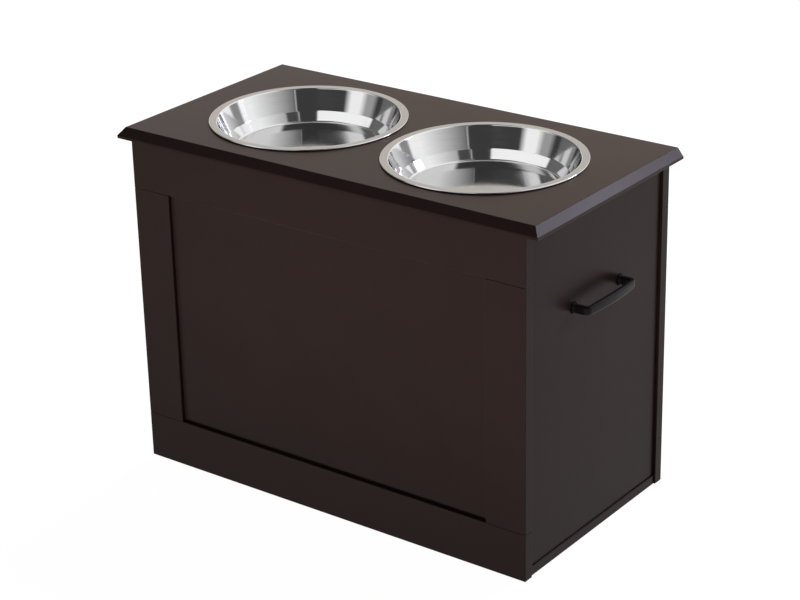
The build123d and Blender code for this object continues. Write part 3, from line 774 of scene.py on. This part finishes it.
# The lamps, each with what area_lamp asks for: the direction is from the aim point to the lamp.
LAMPS = [
    dict(name="key", direction=(0.05, 0.72, 0.69), distance=2.4, size=1.6, level=1.12),
    dict(name="front", direction=(0.06, -1.0, -0.85), distance=1.3, size=0.4, width=1.2, level=1.56,
         aim=(0.13, -0.15, 0.44), spread=50.0),
    dict(name="left", direction=(-1.0, 0.15, -0.3), distance=2.0, size=0.6, level=0.42,
         aim=(-0.28, 0.0, 0.3), spread=60.0),
    dict(name="under_right", direction=(0.75, 0.47, -0.47), distance=2.4, size=0.6, level=0.5,
         colour=(0.81, 0.79, 1.0), aim=(0.28, 0.0, 0.6), spread=31.0),
    dict(name="rim", direction=(0.4489, 0.8246, 0.3445), distance=1.916, size=0.35, level=0.24,
         colour=(0.76, 0.78, 1.0), aim=(0.3, -0.2, 0.48), spread=40.0, glossy=True),
]

# Panels round the feeder as shiny things see them, each laid over the ones before: azimuth from and to,
# elevation from and to, level, and width of the edges, the angles in degrees. Azimuths run anticlockwise
# from +X, seen from above.
STUDIO_PANELS = [
    (140.0, 188.0, 50.0, 72.0, 1.0, 8.0),      # white ceiling at the left
    (92.0, 150.0, 47.0, 66.0, 0.8, 5.0),       # pale ceiling at the back
    (153.0, 200.0, -5.0, 50.0, 0.18, 4.0),     # dim corner behind the left end
    (226.0, 294.0, 33.0, 57.0, 1.3, 3.0),      # large softbox, front left
    (202.0, 230.0, 25.0, 57.0, 1.3, 3.0),      # its wing
    (212.0, 234.0, -5.0, 27.0, 0.45, 8.0),     # its stand
    (230.0, 254.0, -5.0, 34.0, 1.25, 9.0),     # sheet hung below it
    (325.6, 327.4, -5.0, 66.0, 0.6, 1.0),      # gap between two curtains
    (329.0, 348.0, 41.0, 56.0, 0.08, 3.0),     # black flag
    (50.0, 66.0, -5.0, 21.0, 0.35, 4.0),       # lamp stand behind the right end
    (100.0, 150.0, 8.0, 40.0, 0.65, 12.0),     # back wall
]

# The same without a level: the wall on the right, and the part of the back wall that looks warm.
RIGHT_WALL = (-32.0, 165.0, -10.0, 71.0, 3.0)
WARM_WALL = (85.0, 165.0, 6.0, 44.0, 14.0)
WARM_COLOUR = (1.0, 0.94, 0.86, 1.0)
DARK_STUDIO = 0.06      # level of the studio where no panel stands
FLOOR_BOUNCE = 0.08     # how pale the floor is for the light that it throws back on the feeder
FLOOR_SHADOW = 0.1      # how pale it is where it shows, which sets how dark the shadow looks
FLOOR_GLOW = 0.985      # the white that it adds there
FLOOR_DROP = 0.0002     # how far it lies under the feeder
SENSOR_WIDTH = 36.0     # width of the camera's picture in millimetres, which the lens is given for


def area_lamp(name, direction, distance, size, level, colour=(1.0, 1.0, 1.0), aim=(0.0, 0.0, 0.2),
              glossy=False, spread=180.0, width=None):
    """A lamp that gives a white face towards it this level of light; it is square if it has no width.

    That takes level * pi ** 2 * distance ** 2 watts, times the share of a plain lamp's light that leaves a
    lamp whose beam narrows to half angle h: sin(h) ** 2 - (h - sin(2 h) / 2) / tan(h).
    """
    half = math.radians(spread) / 2
    share = math.sin(half) ** 2 - (half - math.sin(2 * half) / 2) / math.tan(half)
    lamp = bpy.data.lights.new(name, "AREA")
    lamp.shape = "RECTANGLE"
    lamp.size = width or size
    lamp.size_y = size
    lamp.energy = level * math.pi ** 2 * distance ** 2 * share
    lamp.color = colour
    lamp.spread = math.radians(spread)
    lit = bpy.data.objects.new(name, lamp)
    bpy.context.scene.collection.objects.link(lit)
    towards = Vector(direction).normalized()
    lit.location = Vector(aim) + towards * distance
    lit.rotation_euler = towards.to_track_quat("Z", "Y").to_euler()
    lit.visible_camera = False
    lit.visible_glossy = glossy


def studio_panel():
    """Mask of a panel in a direction: 1 inside its azimuths and elevations, falling off at its edges.

    For each angle that is half the panel's width, less the way from its middle, over the edge's width,
    plus a half, kept from 0 to 1. The mask is the two multiplied.
    """
    def build(tree, sockets):
        inside = []
        for angle, middle, half in (("Azimuth", "Middle azimuth", "Half width"),
                                    ("Elevation", "Middle elevation", "Half height")):
            away = math_node(tree, "SUBTRACT", sockets[angle], sockets[middle])
            turned = node(tree, "ShaderNodeMath", {0: away, 1: 180.0, 2: -180.0}, operation="WRAP")
            left = math_node(tree, "SUBTRACT", sockets[half], math_node(tree, "ABSOLUTE", turned.outputs[0]))
            share = math_node(tree, "DIVIDE", left, sockets["Edge"])
            inside.append(math_node(tree, "ADD", share, 0.5, clamp=True))
        return {"Mask": math_node(tree, "MULTIPLY", inside[0], inside[1])}
    return effect_group("studio panel", {
        "Azimuth": ("NodeSocketFloat", 0.0),
        "Elevation": ("NodeSocketFloat", 0.0),
        "Middle azimuth": ("NodeSocketFloat", 0.0),
        "Half width": ("NodeSocketFloat", 10.0),
        "Middle elevation": ("NodeSocketFloat", 0.0),
        "Half height": ("NodeSocketFloat", 10.0),
        "Edge": ("NodeSocketFloat", 2.0),
    }, {"Mask": "NodeSocketFloat"}, build)


def panel_mask(tree, azimuth, elevation, start, end, low, high, edge):
    """Mask of the panel between two azimuths and two elevations."""
    return place_group(tree, studio_panel(), {
        "Azimuth": azimuth, "Elevation": elevation, "Edge": edge,
        "Middle azimuth": (start + end) / 2, "Half width": (end - start) / 2,
        "Middle elevation": (low + high) / 2, "Half height": (high - low) / 2}).outputs["Mask"]


def studio_level(tree, azimuth, elevation):
    """Level of the studio in a direction: dark, with the right wall and the panels, and white underneath.

    The right wall fades from grey at the front to white behind the right end.
    """
    wall = node(tree, "ShaderNodeMapRange", {
        "Value": azimuth, "From Min": -33.0, "From Max": 32.0, "To Min": 0.2, "To Max": 1.25})
    level = level_between(tree, panel_mask(tree, azimuth, elevation, *RIGHT_WALL), DARK_STUDIO,
                          wall.outputs["Result"])
    for start, end, low, high, panel_level, edge in STUDIO_PANELS:
        mask = panel_mask(tree, azimuth, elevation, start, end, low, high, edge)
        level = level_between(tree, mask, level, panel_level)
    above = node(tree, "ShaderNodeMapRange", {"Value": elevation, "From Min": -1.0, "From Max": 1.0})
    return level_between(tree, above.outputs["Result"], 1.0, level)


def shows_backdrop(tree, path):
    """1 for what the camera sees straight, in a reflection or through glass, 0 for light on dull faces."""
    seen = math_node(tree, "MAXIMUM", path.outputs["Is Camera Ray"], path.outputs["Is Glossy Ray"])
    return math_node(tree, "MAXIMUM", seen, path.outputs["Is Transmission Ray"])


def world_light(studio):
    """Even light on dull faces, white to the camera, and a dark studio with its panels in shiny ones."""
    world = bpy.data.worlds.new("studio")
    tree = empty_tree(world)
    direction = node(tree, "ShaderNodeTexCoord").outputs["Generated"]
    parts = node(tree, "ShaderNodeSeparateXYZ", {0: direction})
    turn = math_node(tree, "ARCTAN2", parts.outputs["Y"], parts.outputs["X"])
    rise = math_node(tree, "ARCSINE", parts.outputs["Z"])
    azimuth = math_node(tree, "MULTIPLY", turn, math.degrees(1.0))
    elevation = math_node(tree, "MULTIPLY", rise, math.degrees(1.0))
    path = node(tree, "ShaderNodeLightPath")
    glossy = path.outputs["Is Glossy Ray"]
    warm = math_node(tree, "MULTIPLY", panel_mask(tree, azimuth, elevation, *WARM_WALL), glossy)
    seen = node(tree, "ShaderNodeBackground", {
        "Color": colour_between(tree, warm, WHITE, WARM_COLOUR),
        "Strength": level_between(tree, glossy, 1.0, studio_level(tree, azimuth, elevation))})
    even = node(tree, "ShaderNodeBackground", {"Color": WHITE, "Strength": studio.ambient})
    mixed = node(tree, "ShaderNodeMixShader",
                 {0: shows_backdrop(tree, path), 1: even.outputs[0], 2: seen.outputs[0]})
    node(tree, "ShaderNodeOutputWorld", {"Surface": mixed.outputs[0]})
    bpy.context.scene.world = world


def floor_material():
    """Pale floor: white to the camera and in reflections, with a faint shadow of the feeder."""
    material = bpy.data.materials.new("floor")
    tree = empty_tree(material)
    bounce = node(tree, "ShaderNodeBsdfDiffuse", {"Color": shade(WHITE, FLOOR_BOUNCE)})
    shadow = node(tree, "ShaderNodeBsdfDiffuse", {"Color": shade(WHITE, FLOOR_SHADOW)})
    glow = node(tree, "ShaderNodeEmission", {"Strength": FLOOR_GLOW})
    shown = node(tree, "ShaderNodeAddShader", {0: shadow.outputs[0], 1: glow.outputs[0]})
    path = node(tree, "ShaderNodeLightPath")
    mixed = node(tree, "ShaderNodeMixShader",
                 {0: shows_backdrop(tree, path), 1: bounce.outputs[0], 2: shown.outputs[0]})
    node(tree, "ShaderNodeOutputMaterial", {"Surface": mixed.outputs[0]})
    return material


def add_floor(size):
    """A level floor just under the feeder."""
    half = size / 2
    corners = np.array([(-half, -half), (half, -half), (half, half), (-half, half)])
    points = np.column_stack([corners, np.full(len(corners), -FLOOR_DROP)])
    mesh = bpy.data.meshes.new("floor")
    mesh.from_pydata(points.tolist(), [], [[0, 1, 2, 3]])
    mesh.materials.append(floor_material())
    floor = bpy.data.objects.new("floor", mesh)
    bpy.context.scene.collection.objects.link(floor)
    floor.visible_shadow = False


def add_camera(studio):
    """The camera, looking down its line of sight at the aim point."""
    camera = bpy.data.objects.new("camera", bpy.data.cameras.new("camera"))
    bpy.context.scene.collection.objects.link(camera)
    back = Vector((math.sin(studio.azimuth) * math.cos(studio.elevation),
                   -math.cos(studio.azimuth) * math.cos(studio.elevation),
                   math.sin(studio.elevation)))
    turned = Euler((math.pi / 2 - studio.elevation, 0.0, studio.azimuth)).to_matrix()
    rolled = turned @ Matrix.Rotation(studio.roll, 3, "Z")
    camera.matrix_world = Matrix.Translation(Vector(studio.aim) + back * studio.distance) @ rolled.to_4x4()
    camera.data.lens = studio.lens
    camera.data.sensor_width = SENSOR_WIDTH
    camera.data.dof.use_dof = False
    bpy.context.scene.camera = camera


class FEEDER_OT_stage(bpy.types.Operator):
    """Set up the floor, the lamps and the camera"""
    bl_idname = "feeder.stage"
    bl_label = "Studio"

    def execute(self, context):
        studio = context.scene.feeder_studio
        context.scene.view_settings.view_transform = "Standard"
        world_light(studio)
        add_floor(studio.floor_size)
        add_camera(studio)
        for lamp in LAMPS:
            area_lamp(**lamp)
        return {"FINISHED"}


# ---- Panel and registration ---------------------------------------------------------------------------

class FEEDER_PT_panel(bpy.types.Panel):
    """Sizes, colours and steps of the feeder"""
    bl_idname = "FEEDER_PT_panel"
    bl_label = "Raised feeder"
    bl_space_type = "VIEW_3D"
    bl_region_type = "UI"
    bl_category = "Feeder"

    def draw(self, context):
        """One box for each step, with its button and its settings."""
        for operator, settings in STEPS:
            box = self.layout.box()
            box.operator(operator.bl_idname)
            group = getattr(context.scene, settings)
            for key in group.__annotations__:
                box.prop(group, key)


GROUPS = {
    "feeder_paint": FeederPaint,
    "feeder_bowls": FeederBowls,
    "feeder_handles": FeederHandles,
    "feeder_fittings": FeederFittings,
    "feeder_studio": FeederStudio,
}
STEPS = [
    (FEEDER_OT_boards, "feeder_paint"),
    (FEEDER_OT_bowls, "feeder_bowls"),
    (FEEDER_OT_handles, "feeder_handles"),
    (FEEDER_OT_fittings, "feeder_fittings"),
    (FEEDER_OT_stage, "feeder_studio"),
]
CLASSES = list(GROUPS.values()) + [operator for operator, _ in STEPS] + [FEEDER_PT_panel]


def register():
    """Adds the classes to Blender, and the settings to its scenes."""
    for made in CLASSES:
        bpy.utils.register_class(made)
    for name, group in GROUPS.items():
        setattr(bpy.types.Scene, name, bpy.props.PointerProperty(type=group))


def unregister():
    """Takes the settings and the classes away again."""
    for name in GROUPS:
        delattr(bpy.types.Scene, name)
    for made in reversed(CLASSES):
        bpy.utils.unregister_class(made)


def main():
    """Builds every piece and the studio."""
    register()
    for operator, _ in STEPS:
        group, name = operator.bl_idname.split(".")
        getattr(getattr(bpy.ops, group), name)()


if __name__ == "__main__":
    main()
